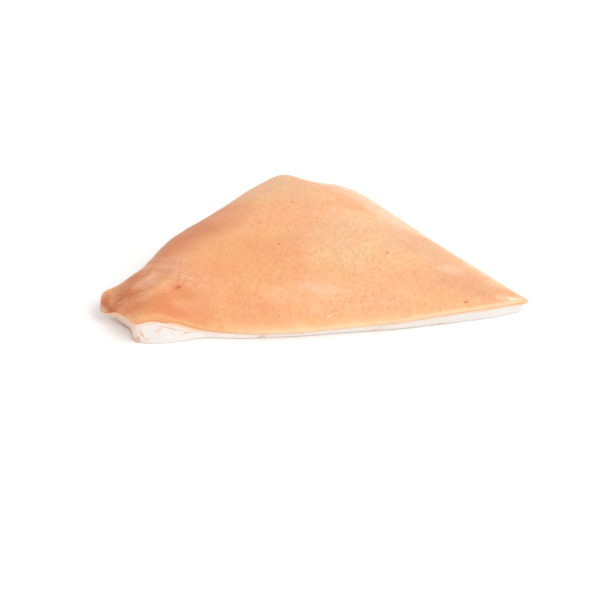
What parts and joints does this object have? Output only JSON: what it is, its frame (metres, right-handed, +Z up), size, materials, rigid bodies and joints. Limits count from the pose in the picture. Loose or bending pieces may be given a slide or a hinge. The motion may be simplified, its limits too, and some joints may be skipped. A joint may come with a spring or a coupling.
{
  "type": "pork jowl",
  "caption": "Raw skin-on pork jowl: a thin, roughly triangular slab of white fat under a low dome of tan rind, with a long straight front cut and a thin pointed tip.",
  "frame": {"origin": "under the middle of the slab's bounding box, on the surface that it lies on", "axes": "+X along the long front cut towards the thin tip, +Y back from that cut towards the back corner, +Z up out of the rind"},
  "size_m": [0.2824, 0.171, 0.0384],
  "materials": {
    "rind_and_fat": "satin"
  },
  "bodies": {
    "root": {"pork_jowl": "rind_and_fat"}
  },
  "joints": []
}
